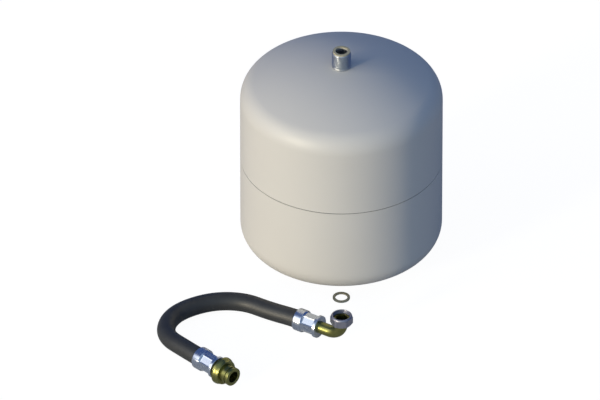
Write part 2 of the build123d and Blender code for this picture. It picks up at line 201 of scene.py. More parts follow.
def spun(name, rows, count, placement, axis=straight_axis):
    """Mesh piece of rows (height, radius or function of the angle), closed into a ring."""
    angles = [2 * math.pi * step / count for step in range(count)]
    points = []
    for height, radius in rows:
        middle, across, aside = axis(height)
        for angle in angles:
            reach = radius(angle) if callable(radius) else radius
            points.append(middle + reach * (math.cos(angle) * across + math.sin(angle) * aside))
    faces = []
    for row in range(len(rows)):
        here, there = row * count, (row + 1) % len(rows) * count
        for step in range(count):
            after = (step + 1) % count
            faces.append((here + step, here + after, there + after, there + step))
    mesh = bpy.data.meshes.new(name)
    mesh.from_pydata(points, [], faces)
    mesh.validate()
    mesh.shade_smooth()
    mesh.set_sharp_from_angle(angle=turned_edge_angle)
    piece = bpy.data.objects.new(name, mesh)
    piece.matrix_world = placement
    bpy.context.scene.collection.objects.link(piece)
    print(name, "faces", len(faces))
    return piece


print("straight axis at 0", straight_axis(0))

# %% [markdown]
# A nut has six flats and a crimped ferrule eight. Over a flat the radius of a polygon
# grows toward the corners as one over the cosine of the angle. A second, round limit
# turns the corners off, as the lathe does on a real nut.

# %% A helper for flats
def polygon_radius(flat_radius, sides, turn, corner_radius):
    """Radius of a regular polygon as a function of the angle, its corners turned off."""
    sector = 2 * math.pi / sides

    def radius(angle):
        off_flat = (angle - turn + sector / 2) % sector - sector / 2
        return min(flat_radius / math.cos(off_flat), corner_radius)

    return radius


print("a hexagon's corner over its flat", round(polygon_radius(1, 6, 0, 2)(math.pi / 6), 3))

# %% [markdown]
# The stub carries a 3/4 inch pipe thread: 14 turns to the inch, rounded crests and
# roots. It is made as real turns, because their fine shadows are what tells a thread
# from a plain pipe. The turns fade out toward the shoulder, as a die leaves them.

# %% The turns of a thread
threads_per_inch = 14
thread_pitch = 25.4 / threads_per_inch * mm
thread_depth = 1.162 * mm
steps_per_turn = 10


def thread_radius(crest_radius, height, strength, outward):
    """Radius of a pipe thread at one height, as a function of the angle."""

    def radius(angle):
        phase = (height / thread_pitch - angle / (2 * math.pi)) % 1
        depth = thread_depth * strength * (0.5 - 0.5 * math.cos(2 * math.pi * phase))
        return crest_radius + depth if outward else crest_radius - depth

    return radius


def thread_rows(crest_radius, low, high, run_out, outward=False):
    """Rows of a threaded wall from low to high. The depth grows from nothing at low."""
    count = math.ceil((high - low) / thread_pitch * steps_per_turn)
    rows = []
    for step in range(count + 1):
        height = low + (high - low) * step / count
        strength = min(1, (height - low) / run_out) if run_out else 1
        rows.append((height, thread_radius(crest_radius, height, strength, outward)))
    return rows


print("thread pitch", round(thread_pitch / mm, 3), "mm")

# %% The threaded stub
stub_low, stub_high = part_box("water_stub")
stub_radius = (stub_high.x - stub_low.x) / 2
stub_bore_radius = 8.3 * mm
stub_spigot_radius = 12.0 * mm
stub_spigot_length = 4 * mm
stub_plain_length = 2 * mm
stub_chamfer = 1.2 * mm
bore_chamfer = 0.5 * mm
stub_ring_count = 120

stub_shoulder = stub_low.z + stub_spigot_length
thread_start = stub_shoulder + stub_plain_length
thread_end = stub_high.z - stub_chamfer
stub = spun(
    "threaded_stub",
    [
        (stub_high.z - bore_chamfer, stub_bore_radius),
        (stub_low.z, stub_bore_radius),
        (stub_low.z, stub_spigot_radius),
        (stub_shoulder, stub_spigot_radius),
        (stub_shoulder, stub_radius),
        *thread_rows(stub_radius, thread_start, thread_end, thread_pitch),
        (stub_high.z, stub_radius - stub_chamfer),
        (stub_high.z, stub_bore_radius + bore_chamfer),
    ],
    stub_ring_count,
    Matrix.Identity(4),
)
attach(stub, "tank")
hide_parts("water_stub")
print("stub top", round(stub_high.z / mm, 2))

# %% [markdown]
# The union nut is turned from hexagon bar: a round collar on top, six flats below
# with their corners turned off, and a thread inside. The flats are rows of the
# hexagon's radius, and near the lower face a smaller round limit takes the corners
# off in the curved chamfer that every nut has. The thread ends in a plain relief
# above the lip that pulls on the elbow's seat ring.

# %% Sizes of the union nut
nut_low, nut_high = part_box("union_nut")
union_x = (nut_low.x + nut_high.x) / 2
union_y = -227.7 * mm
nut_height = nut_high.z - nut_low.z
nut_flat_radius = 14 * mm
nut_corner_radius = 15.87 * mm
nut_turn = math.radians(25)
nut_foot_inset = 0.6 * mm
nut_foot_height = 0.3 * mm
nut_chamfer_height = 1.2 * mm
nut_corner_height = 0.4 * mm
nut_corner_cut = 0.5 * mm
nut_collar_radius = 14.9 * mm
nut_collar_height = 3 * mm
nut_round = 2.6 * mm
nut_lip = 3 * mm
nut_hole_radius = 8.9 * mm
nut_relief_radius = 12.6 * mm
nut_thread_radius = 12.06 * mm
nut_thread_length = 6.4 * mm
nut_mouth_radius = 12.5 * mm
nut_ring_count = 144

nut_collar_low = nut_height - nut_collar_height
nut_thread_top = nut_height - (nut_mouth_radius - nut_thread_radius)
nut_thread_low = nut_thread_top - nut_thread_length
print("nut height", round(nut_height / mm, 2))


# %% The union nut
def hexagon_row(height, limit):
    """Row of the nut's hexagon, with its corners turned off at a round limit."""
    return height, polygon_radius(nut_flat_radius, 6, nut_turn, limit)


def round_edge(outer, top, radius, steps=5):
    """Rows of a rounded outer edge that ends at a top face."""
    turns = [math.pi / 2 * step / steps for step in range(steps + 1)]
    return [
        (top - radius + radius * math.sin(turn), outer - radius + radius * math.cos(turn))
        for turn in turns
    ]


nut = spun(
    "turned_union_nut",
    [
        (0, nut_hole_radius),
        (0, nut_flat_radius - nut_foot_inset),
        hexagon_row(nut_foot_height, nut_flat_radius + nut_foot_height),
        hexagon_row(nut_chamfer_height, nut_corner_radius),
        hexagon_row(nut_collar_low - nut_corner_height, nut_corner_radius),
        hexagon_row(nut_collar_low, nut_corner_radius - nut_corner_cut),
        (nut_collar_low, nut_collar_radius),
        *round_edge(nut_collar_radius, nut_height, nut_round),
        (nut_height, nut_mouth_radius),
        *reversed(thread_rows(nut_thread_radius, nut_thread_low, nut_thread_top, 0, True)),
        (nut_thread_low, nut_relief_radius),
        (nut_lip, nut_relief_radius),
        (nut_lip, nut_hole_radius),
    ],
    nut_ring_count,
    Matrix.Translation((union_x, union_y, nut_low.z)),
)
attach(nut, "union_nut")
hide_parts("union_nut")

# %% [markdown]
# Each ferrule is a zinc plated sleeve that a press with eight jaws has squeezed onto
# the hose. The jaws leave eight flats with soft hollows where they stopped, and a
# thin ridge where two jaws met. One function of height and angle describes all of
# that: round behind, eight-sided further on, with a smooth step from one to the
# other. In front the flats end in a narrow turned groove before the round collar.

# %% Sizes of a ferrule
ferrule_radius = 15.8 * mm
ferrule_length = 37.4 * mm
ferrule_rear_round = 2 * mm
ferrule_front_round = 0.9 * mm
ferrule_back_edge = 0.5 * mm
ferrule_wall = 2.8 * mm
ferrule_hole_radius = 8.7 * mm
ferrule_plate = 4 * mm
ferrule_ring_count = 160
jaw_count = 8
crimp_flat_radius = 13 * mm
crimp_start = 12.4 * mm
crimp_end = 32.4 * mm
crimp_slope = 2.4 * mm
crimp_ridge = 0.25 * mm
crimp_ridge_width = 0.5 * mm
crimp_groove_radius = 12.5 * mm
crimp_groove_length = 0.8 * mm
crimp_row_count = 28
squeezed_wall = 1.8 * mm
print("ferrules", ferrule_length / mm, "mm long")


# %% The shape of the crimp
def soft_step(share):
    """Smooth step that leaves 0 and reaches 1 without a corner."""
    share = max(0, min(1, share))
    return share * share * (3 - 2 * share)


def crimped_radius(height):
    """Outside radius of the squeezed stretch, as a function of the angle."""
    squeeze = soft_step((height - crimp_start) / crimp_slope)
    sector = 2 * math.pi / jaw_count
    flat = polygon_radius(crimp_flat_radius, jaw_count, 0, ferrule_radius)

    def radius(angle):
        off_ridge = abs((angle + sector) % sector - sector / 2)
        off_width = off_ridge * ferrule_radius / crimp_ridge_width
        ridge = crimp_ridge * math.exp(-(off_width ** 2))
        return (1 - squeeze) * ferrule_radius + squeeze * (flat(angle) + ridge)

    return radius


def rear_edge(steps=6):
    """Rows of the ferrule's rounded rear edge, from its end face outward."""
    turns = [math.pi / 2 * step / steps for step in range(steps + 1)]
    back = ferrule_radius - ferrule_rear_round
    return [
        (
            ferrule_rear_round * (1 - math.sin(turn)),
            back + ferrule_rear_round * math.cos(turn),
        )
        for turn in reversed(turns)
    ]


def crimp_rows():
    """Rows of the squeezed stretch, from its start to the turned groove."""
    length = crimp_end - crimp_groove_length - crimp_start
    heights = [crimp_start + length * step / crimp_row_count for step in range(crimp_row_count + 1)]
    return [(height, crimped_radius(height)) for height in heights]


print("rows over the crimp", len(crimp_rows()))

# %% [markdown]
# Both ferrules are made alike, and each lies level, in line with the end of the hose
# that reaches 30 mm into it. One mesh could serve them both. Two are made, so that
# either piece can be changed without the other.

# %% The two ferrules
elbow_heading = -32.7
plug_heading = -45
hose_in_ferrule = 30 * mm
elbow_hose_end = Vector(hose_route[0]) * mm
plug_hose_end = Vector(hose_route[-1]) * mm


def make_ferrule(name, node, placement):
    """Crimped sleeve in place of a CAD node, closed in front by a thick plate."""
    inside = ferrule_radius - ferrule_wall
    squeezed_inside = crimp_flat_radius - squeezed_wall
    ferrule = spun(
        name,
        [
            (0, inside),
            *rear_edge(),
            *crimp_rows(),
            (crimp_end - crimp_groove_length, crimp_groove_radius),
            (crimp_end, crimp_groove_radius),
            (crimp_end, ferrule_radius - ferrule_back_edge),
            (crimp_end + ferrule_back_edge, ferrule_radius),
            *round_edge(ferrule_radius, ferrule_length, ferrule_front_round),
            (ferrule_length, ferrule_hole_radius),
            (ferrule_length - ferrule_plate, ferrule_hole_radius),
            (ferrule_length - ferrule_plate, squeezed_inside),
            (crimp_start + crimp_slope, squeezed_inside),
            (crimp_start, inside),
        ],
        ferrule_ring_count,
        placement,
    )
    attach(ferrule, "tank")
    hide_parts(node)
    return ferrule


def ferrule_placement(hose_end, heading):
    """Placement whose Z runs level along a heading in degrees, with X pointing up."""
    turn = math.radians(heading)
    forward = Vector((math.cos(turn), math.sin(turn), 0))
    up = Vector((0, 0, 1))
    side = forward.cross(up)
    rotation = Matrix((up, side, forward)).transposed().to_4x4()
    return Matrix.Translation(hose_end - forward * hose_in_ferrule) @ rotation


elbow_placement = ferrule_placement(elbow_hose_end, elbow_heading)
plug_placement = ferrule_placement(plug_hose_end, plug_heading)
elbow_ferrule = make_ferrule("elbow_crimp_ferrule", "elbow_ferrule", elbow_placement)
plug_ferrule = make_ferrule("plug_crimp_ferrule", "plug_ferrule", plug_placement)

# %% [markdown]
# Both fittings end in the same barbed tail, which the ferrule squeezes the hose onto.
# The barbs are cones with their narrow ends toward the hose, so that it slides on and
# can't slip off. No view shows them, but they are only a few rows each.

# %% The barbed tail
tail_start = 4 * mm
tail_radius = 7.9 * mm
tail_root_radius = 7.2 * mm
tail_bore_radius = 6.3 * mm
tail_bore_cone = 1 * mm
tail_shoulder = 31.5 * mm
barb_count = 6
barb_pitch = 4 * mm
barb_front = 0.2 * mm
pipe_radius = 8.6 * mm
pipe_bore_radius = 7.1 * mm


def tail_rows():
    """Rows of the tail's outside, from its free end to the pipe's radius."""
    rows = []
    for barb in range(barb_count):
        foot = tail_start + barb * barb_pitch
        rows.append((foot, tail_root_radius))
        rows.append((foot + barb_pitch - barb_front, tail_radius))
    rows.append((tail_start + barb_count * barb_pitch, tail_root_radius))
    rows.append((tail_shoulder, tail_root_radius))
    rows.append((tail_shoulder + pipe_radius - tail_root_radius, pipe_radius))
    return rows


print("rows along the tail", len(tail_rows()))

# %% [markdown]
# The elbow is thin steel tube, bent a quarter turn upward. Its end carries a seat ring
# with a cone inside: the flat seal lies on it, and the union nut pulls on its back.
# The rows stay the same as for a straight piece. Only the axis bends, and the rows are
# close together there, so that the bend is smooth.

# %% The elbow
elbow_leg = 35.1 * mm
bend_radius = 20 * mm
bend_start = ferrule_length + elbow_leg - bend_radius
bend_length = bend_radius * math.pi / 2
bend_steps = 32
seat_radius = 11.7 * mm
seat_mouth_radius = 8.25 * mm
seat_edge = 0.4 * mm
bend_to_seat = 4.1 * mm
seat_height = 5.2 * mm
seat_back = bend_start + bend_length + bend_to_seat
seat_front = seat_back + seat_height
elbow_ring_count = 72


def bent_axis(height):
    """The elbow's axis: along Z, then round a quarter turn, then along X."""
    aside = Vector((0, 1, 0))
    if height <= bend_start:
        return Vector((0, 0, height)), Vector((1, 0, 0)), aside
    turn = min((height - bend_start) / bend_radius, math.pi / 2)
    onward = max(0, height - bend_start - bend_length)
    sine, cosine = math.sin(turn), math.cos(turn)
    middle = Vector((bend_radius * (1 - cosine) + onward, 0, bend_start + bend_radius * sine))
    return middle, Vector((cosine, 0, -sine)), aside


bend_heights = [bend_start + bend_length * step / bend_steps for step in range(bend_steps + 1)]
elbow = spun(
    "bent_elbow",
    [
        *tail_rows(),
        *[(height, pipe_radius) for height in bend_heights],
        (seat_back, pipe_radius),
        (seat_back, seat_radius),
        (seat_front - seat_edge, seat_radius),
        (seat_front, seat_radius - seat_edge),
        (seat_front, seat_mouth_radius),
        (seat_back, pipe_bore_radius),
        *[(height, pipe_bore_radius) for height in reversed(bend_heights)],
        (tail_shoulder, pipe_bore_radius),
        (tail_shoulder - tail_bore_cone, tail_bore_radius),
        (tail_start, tail_bore_radius),
    ],
    elbow_ring_count,
    elbow_placement,
    bent_axis,
)
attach(elbow, "tank")
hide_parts("elbow_pipe")
print("elbow top", round(max((elbow.matrix_world @ v.co).z for v in elbow.data.vertices) / mm, 2))

# %% [markdown]
# The plug-in nipple is turned from bar: a drum that narrows in one long, soft curve,
# a spigot with a groove for a retaining clip, and a deep mouth. A lathe tool has a round
# tip and an edge is broken with a file, so every corner here is eased a little: those
# thin bright and dark lines tell the steps apart.

# %% Sizes of the nipple
neck_radius = 11 * mm
neck_length = 5 * mm
drum_back_radius = 19.6 * mm
drum_front_radius = 17.4 * mm
drum_length = 10.6 * mm
drum_back_edge = 1.4 * mm
drum_rim = 1.6 * mm
drum_shoulder = 7 * mm
spigot_radius = 13.2 * mm
spigot_length = 14.2 * mm
groove_place = 8.2 * mm
groove_width = 2 * mm
groove_depth = 1.1 * mm
mouth_radius = 8.25 * mm
mouth_depth = 15 * mm
mouth_cone = 1.95 * mm
plug_edge = 0.6 * mm
plug_ring_count = 96

drum_back = ferrule_length + neck_length
drum_front = drum_back + drum_length
rim_start = drum_back + drum_back_edge
rim_end = rim_start + drum_rim
groove_start = drum_front + groove_place
groove_end = groove_start + groove_width
groove_radius = spigot_radius - groove_depth
plug_end = drum_front + spigot_length
print("nipple", round((plug_end - ferrule_length) / mm, 1), "mm beyond its ferrule")


# %% The plug-in nipple
def soft_run(low, high, low_radius, high_radius, steps=8):
    """Rows that go from one radius to another in an S curve."""
    shares = [step / steps for step in range(steps + 1)]
    return [
        (low + (high - low) * share, low_radius + (high_radius - low_radius) * soft_step(share))
        for share in shares
    ]


plug = spun(
    "turned_plug_nipple",
    [
        *tail_rows(),
        (ferrule_length, pipe_radius),
        (ferrule_length, neck_radius),
        (drum_back, neck_radius),
        (drum_back, drum_back_radius - drum_back_edge),
        (rim_start, drum_back_radius),
        *soft_run(rim_end, rim_end + drum_shoulder, drum_back_radius, drum_front_radius),
        *round_edge(drum_front_radius, drum_front, plug_edge),
        (drum_front, spigot_radius),
        (groove_start, spigot_radius),
        (groove_start, groove_radius),
        (groove_end, groove_radius),
        (groove_end, spigot_radius),
        *round_edge(spigot_radius, plug_end, plug_edge),
        (plug_end, mouth_radius + plug_edge / 2),
        (plug_end - plug_edge / 2, mouth_radius),
        (plug_end - mouth_depth, mouth_radius),
        (plug_end - mouth_depth - mouth_cone, tail_bore_radius),
        (tail_start, tail_bore_radius),
    ],
    plug_ring_count,
    plug_placement,
)
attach(plug, "tank")
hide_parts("plug")

# %% [markdown]

# %% [markdown]
# The valve's spring can't be seen from outside, but it moves: it shortens toward its
# fixed upper end as the pin is pressed in. It is a tube of rings like the hose's, laid
# along a helix, because such a mesh can be squashed as a whole. Its turns lie closer
# together at both ends, as those of a wound spring do.

# %% The valve spring
spring_wire_radius = 0.225 * mm
spring_turns = 6
spring_steps = 144
spring_ring_count = 12


def spring_line(low, high):
    """Points along a helix whose turns close up toward both ends of its box."""
    middle = (low + high) / 2
    coil_radius = (high.x - low.x) / 2 - spring_wire_radius
    first, last = low.z + spring_wire_radius, high.z - spring_wire_radius
    points = []
    for step in range(spring_steps + 1):
        share = step / spring_steps
        angle = 2 * math.pi * spring_turns * share
        height = first + (last - first) * soft_step(share)
        across, aside = coil_radius * math.cos(angle), coil_radius * math.sin(angle)
        points.append(Vector((middle.x + across, middle.y + aside, height)))
    return points


spring_low, spring_high = (Vector(corner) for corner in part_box("valve_spring"))
spring_tube = tube_mesh(
    "coiled_valve_spring",
    spring_line(spring_low, spring_high),
    spring_wire_radius,
    spring_ring_count,
)
spring = bpy.data.objects.new("coiled_valve_spring", spring_tube)
bpy.context.scene.collection.objects.link(spring)
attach(spring, "tank")
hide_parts("valve_spring")
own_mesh(spring)

# %% [markdown]
# Colours are written as hex values, the way a paint chart gives them, and one
# function turns them into the linear numbers that a renderer mixes. A second small
# function adds a node with its settings and its links, so that each finish reads as
# a short list of steps. Sizes of patterns are real sizes: a noise texture's scale is
# one over the size of its blotches, and a wave texture's has a function of its own.

# %% Colour and node helpers
def hex_colour(text):
    """Linear RGBA of an sRGB hex colour."""
    channels = [int(text[place:place + 2], 16) / 255 for place in (1, 3, 5)]
    linear = [c / 12.92 if c <= 0.04045 else ((c + 0.055) / 1.055) ** 2.4 for c in channels]
    return (*linear, 1)


def add_node(tree, kind, settings=None, links=None):
    """Adds a node. Settings go to its sockets or its own values, links to its inputs."""
    node = tree.nodes.new(kind)
    for name, value in (settings or {}).items():
        if isinstance(name, str) and hasattr(node, name):
            setattr(node, name, value)
        else:
            node.inputs[name].default_value = value
    for name, source in (links or {}).items():
        tree.links.new(source, node.inputs[name])
    return node


def band_scale(pitch):
    """Scale of a wave texture whose bands lie a pitch apart. It draws 20 radians a unit."""
    return 2 * math.pi / (20 * pitch)


def new_material(name):
    """Material with a node tree that has only its output."""
    material = bpy.data.materials.new(name)
    material.use_nodes = True
    material.node_tree.nodes.clear()
    output = material.node_tree.nodes.new("ShaderNodeOutputMaterial")
    return material, material.node_tree, output


def dress(material, pieces):
    """Gives a finish to pieces in place of what they had."""
    for piece in pieces:
        piece.data.materials.clear()
        piece.data.materials.append(material)
    print(material.name, "on", [piece.name for piece in pieces])


print("mid grey in linear light", [round(part, 3) for part in hex_colour("#808080")])

# %% [markdown]
# The tank is deep-drawn steel with a baked powder coat in a warm light grey. Powder
# coat flows out before it sets, and leaves a very shallow orange peel about 3 mm
# across and a satin shine. It is a plastic film, so it is not metallic, and its IOR
# is that of polyester, about 1.5.

# %% Powder coat
paint, tree, output = new_material("grey_powder_coat")
place = add_node(tree, "ShaderNodeTexCoord")
peel = add_node(
    tree,
    "ShaderNodeTexNoise",
    {"Scale": 1 / (3 * mm), "Detail": 1.5},
    {"Vector": place.outputs["Object"]},
)
cloud = add_node(
    tree,
    "ShaderNodeTexNoise",
    {"Scale": 1 / (90 * mm), "Detail": 2},
    {"Vector": place.outputs["Object"]},
)
shade = add_node(tree, "ShaderNodeValToRGB", {}, {"Fac": cloud.outputs["Fac"]})
shade.color_ramp.elements[0].color = hex_colour("#cdc9c2")
shade.color_ramp.elements[1].color = hex_colour("#d2cec7")
sheen = add_node(
    tree,
    "ShaderNodeMapRange",
    {"To Min": 0.46, "To Max": 0.5},
    {"Value": cloud.outputs["Fac"]},
)
bump = add_node(
    tree,
    "ShaderNodeBump",
    {"Strength": 0.25, "Distance": 0.01 * mm},
    {"Height": peel.outputs["Fac"]},
)
skin = add_node(
    tree,
    "ShaderNodeBsdfPrincipled",
    {"IOR": 1.5},
    {
        "Base Color": shade.outputs["Color"],
        "Roughness": sheen.outputs["Result"],
        "Normal": bump.outputs["Normal"],
    },
)
tree.links.new(skin.outputs["BSDF"], output.inputs["Surface"])
dress(paint, [nodes["upper_shell"], nodes["lower_shell"]])

# %% [markdown]
# The weld sits deep in the open seam, where no paint and hardly any light reach it,
# so all one sees is a thin dark line. The clamp ring inside the tank is plain pressed
# steel with a little oil on it, and one dark finish serves for both.

# %% Seam weld and plain steel
steel, tree, output = new_material("oiled_pressed_steel")
place = add_node(tree, "ShaderNodeTexCoord")
grain = add_node(
    tree,
    "ShaderNodeTexNoise",
    {"Scale": 1 / (2 * mm), "Detail": 4},
    {"Vector": place.outputs["Object"]},
)
tone = add_node(tree, "ShaderNodeValToRGB", {}, {"Fac": grain.outputs["Fac"]})
tone.color_ramp.elements[0].color = hex_colour("#4d4b49")
tone.color_ramp.elements[1].color = hex_colour("#6a6866")
skin = add_node(
    tree,
    "ShaderNodeBsdfPrincipled",
    {"Metallic": 1, "Roughness": 0.5},
    {"Base Color": tone.outputs["Color"]},
)
tree.links.new(skin.outputs["BSDF"], output.inputs["Surface"])
dress(steel, [nodes["seam_weld"], nodes["clamp_ring"]])

# %% [markdown]
# The ferrules are bright zinc plated steel: a thin, slightly blue metal skin over
# turned surfaces. The turning marks are rings about the axis. Real ones lie a tenth
# of a millimetre apart, too fine to show, so they are drawn very shallow and 3 mm
# apart.

# %% Bright zinc
zinc, tree, output = new_material("bright_zinc_plate")
place = add_node(tree, "ShaderNodeTexCoord")
rings = add_node(
    tree,
    "ShaderNodeTexWave",
    {"bands_direction": "Z", "Scale": band_scale(3 * mm), "Distortion": 0.4},
    {"Vector": place.outputs["Object"]},
)
cloud = add_node(
    tree,
    "ShaderNodeTexNoise",
    {"Scale": 1 / (6 * mm), "Detail": 3},
    {"Vector": place.outputs["Object"]},
)
tone = add_node(tree, "ShaderNodeValToRGB", {}, {"Fac": cloud.outputs["Fac"]})
tone.color_ramp.elements[0].position = 0.3
tone.color_ramp.elements[0].color = hex_colour("#c3cad6")
tone.color_ramp.elements[1].position = 0.7
tone.color_ramp.elements[1].color = hex_colour("#cdd3de")
gloss = add_node(
    tree, "ShaderNodeMapRange", {"To Min": 0.25, "To Max": 0.31}, {"Value": cloud.outputs["Fac"]}
)
bump = add_node(
    tree,
    "ShaderNodeBump",
    {"Strength": 0.3, "Distance": 0.01 * mm},
    {"Height": rings.outputs["Fac"]},
)
skin = add_node(
    tree,
    "ShaderNodeBsdfPrincipled",
    {"Metallic": 1},
    {
        "Base Color": tone.outputs["Color"],
        "Roughness": gloss.outputs["Result"],
        "Normal": bump.outputs["Normal"],
    },
)
tree.links.new(skin.outputs["BSDF"], output.inputs["Surface"])
dress(zinc, [elbow_ferrule, plug_ferrule])

# %% [markdown]
# The stub is zinc plated too, but from the barrel, where the pieces rub against each
# other: its skin is duller, with little blue left in it, and it shines in one broad,
# soft stripe.

# %% Satin zinc
satin_zinc, tree, output = new_material("satin_zinc_plate")
place = add_node(tree, "ShaderNodeTexCoord")
rubbing = add_node(
    tree,
    "ShaderNodeTexNoise",
    {"Scale": 1 / (3 * mm), "Detail": 4},
    {"Vector": place.outputs["Object"]},
)
tone = add_node(tree, "ShaderNodeValToRGB", {}, {"Fac": rubbing.outputs["Fac"]})
tone.color_ramp.elements[0].position = 0.3
tone.color_ramp.elements[0].color = hex_colour("#b0b3b6")
tone.color_ramp.elements[1].position = 0.7
tone.color_ramp.elements[1].color = hex_colour("#bdc0c3")
gloss = add_node(
    tree, "ShaderNodeMapRange", {"To Min": 0.42, "To Max": 0.5}, {"Value": rubbing.outputs["Fac"]}
)
skin = add_node(
    tree,
    "ShaderNodeBsdfPrincipled",
    {"Metallic": 1},
    {"Base Color": tone.outputs["Color"], "Roughness": gloss.outputs["Result"]},
)
tree.links.new(skin.outputs["BSDF"], output.inputs["Surface"])
dress(satin_zinc, [stub])

# %% [markdown]
# The union nut has a thicker, greyer zinc coat with a faint violet cast, as chromate
# free plating has. It is a little rougher than the ferrules.

# %% Grey zinc
grey_zinc, tree, output = new_material("grey_violet_zinc_plate")
place = add_node(tree, "ShaderNodeTexCoord")
cloud = add_node(
    tree,
    "ShaderNodeTexNoise",
    {"Scale": 1 / (5 * mm), "Detail": 3},
    {"Vector": place.outputs["Object"]},
)
tone = add_node(tree, "ShaderNodeValToRGB", {}, {"Fac": cloud.outputs["Fac"]})
tone.color_ramp.elements[0].position = 0.3
tone.color_ramp.elements[0].color = hex_colour("#9e9da6")
tone.color_ramp.elements[1].position = 0.7
tone.color_ramp.elements[1].color = hex_colour("#a9a8b2")
skin = add_node(
    tree,
    "ShaderNodeBsdfPrincipled",
    {"Metallic": 1, "Roughness": 0.46},
    {"Base Color": tone.outputs["Color"]},
)
tree.links.new(skin.outputs["BSDF"], output.inputs["Surface"])
dress(grey_zinc, [nut])

# %% [markdown]
# The elbow and the plug-in nipple are steel with a yellow chromate over the zinc.
# The film is thin enough to show a little green and gold by turns, so its colour
# drifts over a few millimetres.

# %% Yellow chromate
yellow, tree, output = new_material("yellow_chromate_zinc")
place = add_node(tree, "ShaderNodeTexCoord")
drift = add_node(
    tree,
    "ShaderNodeTexNoise",
    {"Scale": 1 / (9 * mm), "Detail": 2},
    {"Vector": place.outputs["Object"]},
)
tone = add_node(tree, "ShaderNodeValToRGB", {}, {"Fac": drift.outputs["Fac"]})
tone.color_ramp.elements[0].position = 0.3
tone.color_ramp.elements[0].color = hex_colour("#898850")
tone.color_ramp.elements[1].position = 0.7
tone.color_ramp.elements[1].color = hex_colour("#929159")
skin = add_node(
    tree,
    "ShaderNodeBsdfPrincipled",
    {"Metallic": 1, "Roughness": 0.34},
    {"Base Color": tone.outputs["Color"]},
)
tree.links.new(skin.outputs["BSDF"], output.inputs["Surface"])
dress(yellow, [elbow, plug])

# %% [markdown]
# The hose's cover is black EPDM rubber, cured in a tight cloth wrap that leaves a
# fine print of its weave. Even filled with carbon black, rubber is a very dark grey
# and never fully black, and its shine is dull and wide. The weave is drawn 1 mm
# across.

# %% Hose rubber
rubber, tree, output = new_material("wrapped_epdm_rubber")
place = add_node(tree, "ShaderNodeTexCoord")
weave = add_node(
    tree,
    "ShaderNodeTexNoise",
    {"Scale": 1 / (1 * mm), "Detail": 2},
    {"Vector": place.outputs["Object"]},
)
bloom = add_node(
    tree,
    "ShaderNodeTexNoise",
    {"Scale": 1 / (25 * mm), "Detail": 3},
    {"Vector": place.outputs["Object"]},
)
tone = add_node(tree, "ShaderNodeValToRGB", {}, {"Fac": bloom.outputs["Fac"]})
tone.color_ramp.elements[0].position = 0.3
tone.color_ramp.elements[0].color = hex_colour("#292929")
tone.color_ramp.elements[1].position = 0.75
tone.color_ramp.elements[1].color = hex_colour("#333434")
bump = add_node(
    tree,
    "ShaderNodeBump",
    {"Strength": 0.3, "Distance": 0.05 * mm},
    {"Height": weave.outputs["Fac"]},
)
skin = add_node(
    tree,
    "ShaderNodeBsdfPrincipled",
    {"Roughness": 0.52, "IOR": 1.57},
    {"Base Color": tone.outputs["Color"], "Normal": bump.outputs["Normal"]},
)
tree.links.new(skin.outputs["BSDF"], output.inputs["Surface"])
dress(rubber, [hose])

# %% [markdown]
# The flat seals are punched from pressed fibre, a greyish tan sheet of aramid and
# rubber. Short fibres lie in it in all directions and give a fine mottle.

# %% Fibre seals
fibre, tree, output = new_material("pressed_aramid_fibre")
place = add_node(tree, "ShaderNodeTexCoord")
mottle = add_node(
    tree,
    "ShaderNodeTexNoise",
    {"Scale": 1 / (0.8 * mm), "Detail": 5},
    {"Vector": place.outputs["Object"]},
)
tone = add_node(tree, "ShaderNodeValToRGB", {}, {"Fac": mottle.outputs["Fac"]})
tone.color_ramp.elements[0].position = 0.35
tone.color_ramp.elements[0].color = hex_colour("#a39b80")
tone.color_ramp.elements[1].position = 0.65
tone.color_ramp.elements[1].color = hex_colour("#beb599")
bump = add_node(
    tree,
    "ShaderNodeBump",
    {"Strength": 0.4, "Distance": 0.03 * mm},
    {"Height": mottle.outputs["Fac"]},
)
skin = add_node(
    tree,
    "ShaderNodeBsdfPrincipled",
    {"Roughness": 0.75, "IOR": 1.5},
    {"Base Color": tone.outputs["Color"], "Normal": bump.outputs["Normal"]},
)
tree.links.new(skin.outputs["BSDF"], output.inputs["Surface"])
dress(fibre, [nodes["stub_seal"], nodes["union_seal"]])

# %% [markdown]
# The gas valve is turned brass, with a black moulded cap. Brass is a metal with a
# warm yellow of its own, slightly dulled by handling. Its turning marks are drawn
# 2.5 mm apart, far coarser than real ones.

# %% Turned brass
brass, tree, output = new_material("turned_brass")
place = add_node(tree, "ShaderNodeTexCoord")
rings = add_node(
    tree,
    "ShaderNodeTexWave",
    {"bands_direction": "Z", "Scale": band_scale(2.5 * mm), "Distortion": 0.3},
    {"Vector": place.outputs["Object"]},
)
dulling = add_node(
    tree,
    "ShaderNodeTexNoise",
    {"Scale": 1 / (4 * mm), "Detail": 3},
    {"Vector": place.outputs["Object"]},
)
tone = add_node(tree, "ShaderNodeValToRGB", {}, {"Fac": dulling.outputs["Fac"]})
tone.color_ramp.elements[0].color = hex_colour("#b08d4a")
tone.color_ramp.elements[1].color = hex_colour("#d6b364")
bump = add_node(
    tree,
    "ShaderNodeBump",
    {"Strength": 0.2, "Distance": 0.01 * mm},
    {"Height": rings.outputs["Fac"]},
)
skin = add_node(
    tree,
    "ShaderNodeBsdfPrincipled",
    {"Metallic": 1, "Roughness": 0.3},
    {"Base Color": tone.outputs["Color"], "Normal": bump.outputs["Normal"]},
)
tree.links.new(skin.outputs["BSDF"], output.inputs["Surface"])
dress(brass, [nodes["valve_body"], nodes["valve_core"], nodes["valve_pin"]])

# %% [markdown]
# The valve's spring is drawn steel wire, bright and smooth, with faint marks along
# its length.

